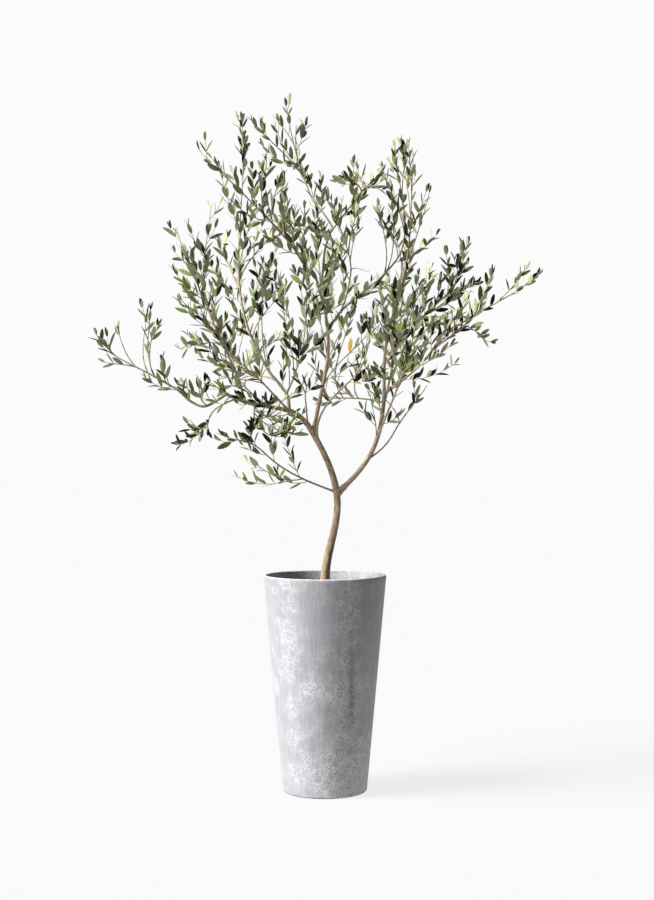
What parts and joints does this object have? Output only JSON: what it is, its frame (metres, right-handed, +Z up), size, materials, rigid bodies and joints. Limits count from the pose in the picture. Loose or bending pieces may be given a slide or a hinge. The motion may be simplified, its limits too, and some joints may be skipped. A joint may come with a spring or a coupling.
{
  "type": "potted olive tree",
  "caption": "Young olive tree with an open, airy crown of narrow grey-green leaves on a slender leaning trunk, standing in a tall tapered grey planter filled with soil.",
  "frame": {"origin": "centre of the pot's flat underside", "axes": "+Z up along the pot's axis; +X to the right and -Y towards the viewer in the picture's view"},
  "size_m": [1.3832, 0.8148, 2.1067],
  "materials": {
    "pot": "matt stone-look resin, mottled grey with a paler feathery crackle",
    "soil": "dark crumbly potting compost",
    "bark": "smooth grey-brown young bark, matt",
    "foliage": "leathery leaves, dark green above and silvery grey-green below"
  },
  "bodies": {
    "root": {"pot": "pot", "soil": "soil", "trunk": "bark", "arch_bough": "bark", "back_bough": "bark", "back_left_bough": "bark", "back_right_bough": "bark", "centre_bough": "bark", "centre_low_bough": "bark", "centre_right_bough": "bark", "cross_bough": "bark", "droop_bough": "bark", "far_left_bough": "bark", "front_bough": "bark", "front_right_bough": "bark", "leader_bough": "bark", "left_bough": "bark", "left_column_bough": "bark", "left_diagonal_bough": "bark", "left_inner_bough": "bark", "left_rise_bough": "bark", "left_under_bough": "bark", "link_bough": "bark", "low_left_bough": "bark", "low_tuft_bough": "bark", "right_bough": "bark", "right_column_bough": "bark", "right_crown_bough": "bark", "right_inner_bough": "bark", "right_low_bough": "bark", "right_reach_bough": "bark", "top_bough": "bark", "upper_left_bough": "bark", "arch_leaves": "foliage", "back_leaves": "foliage", "back_left_leaves": "foliage", "back_right_leaves": "foliage", "centre_low_leaves": "foliage", "centre_right_leaves": "foliage", "cross_leaves": "foliage", "droop_leaves": "foliage", "far_left_leaves": "foliage", "front_leaves": "foliage", "front_right_leaves": "foliage", "left_column_leaves": "foliage", "left_diagonal_leaves": "foliage", "left_inner_leaves": "foliage", "left_rise_leaves": "foliage", "left_under_leaves": "foliage", "link_leaves": "foliage", "low_left_leaves": "foliage", "low_tuft_leaves": "foliage", "right_column_leaves": "foliage", "right_crown_leaves": "foliage", "right_inner_leaves": "foliage", "right_low_leaves": "foliage", "right_reach_leaves": "foliage", "top_leaves": "foliage", "upper_left_leaves": "foliage"}
  },
  "joints": []
}
